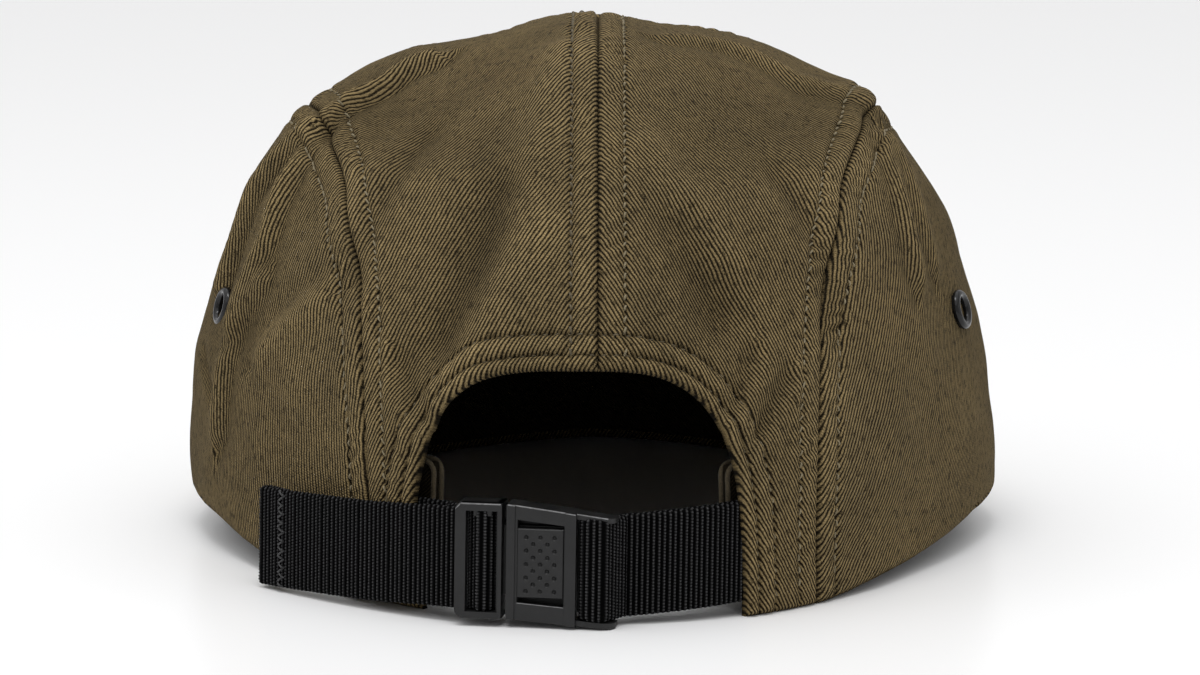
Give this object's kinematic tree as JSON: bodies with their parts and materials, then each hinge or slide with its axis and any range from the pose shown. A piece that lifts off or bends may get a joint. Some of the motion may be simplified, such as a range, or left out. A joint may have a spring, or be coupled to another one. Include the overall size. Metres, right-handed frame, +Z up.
{
  "type": "jockey cap",
  "caption": "Low five-panel cloth cap with a flat visor, side vent eyelets and a buckled webbing strap across a half-moon back opening.",
  "frame": {"origin": "on the table under the middle of the whole cap, visor and strap included", "axes": "+Z up, +Y towards the back opening and its strap, the visor along -Y, +X towards the wearer's left"},
  "size_m": [0.179, 0.2626, 0.1133],
  "materials": {
    "olive_twill": "matt cotton twill",
    "olive_band": "matt cotton",
    "black_webbing": "ribbed woven nylon",
    "black_plastic": "satin moulded",
    "black_enamel": "gloss"
  },
  "bodies": {
    "root": {"front_panel": "olive_twill", "back_panel_left": "olive_twill", "back_panel_right": "olive_twill", "side_panel_left": "olive_twill", "side_panel_right": "olive_twill", "visor": "olive_twill", "sweatband": "olive_band", "eyelet_left": "black_enamel", "eyelet_right": "black_enamel", "adjuster_strap": "black_webbing", "anchor_strap": "black_webbing", "buckle_male": "black_plastic", "buckle_female": "black_plastic"}
  },
  "joints": []
}
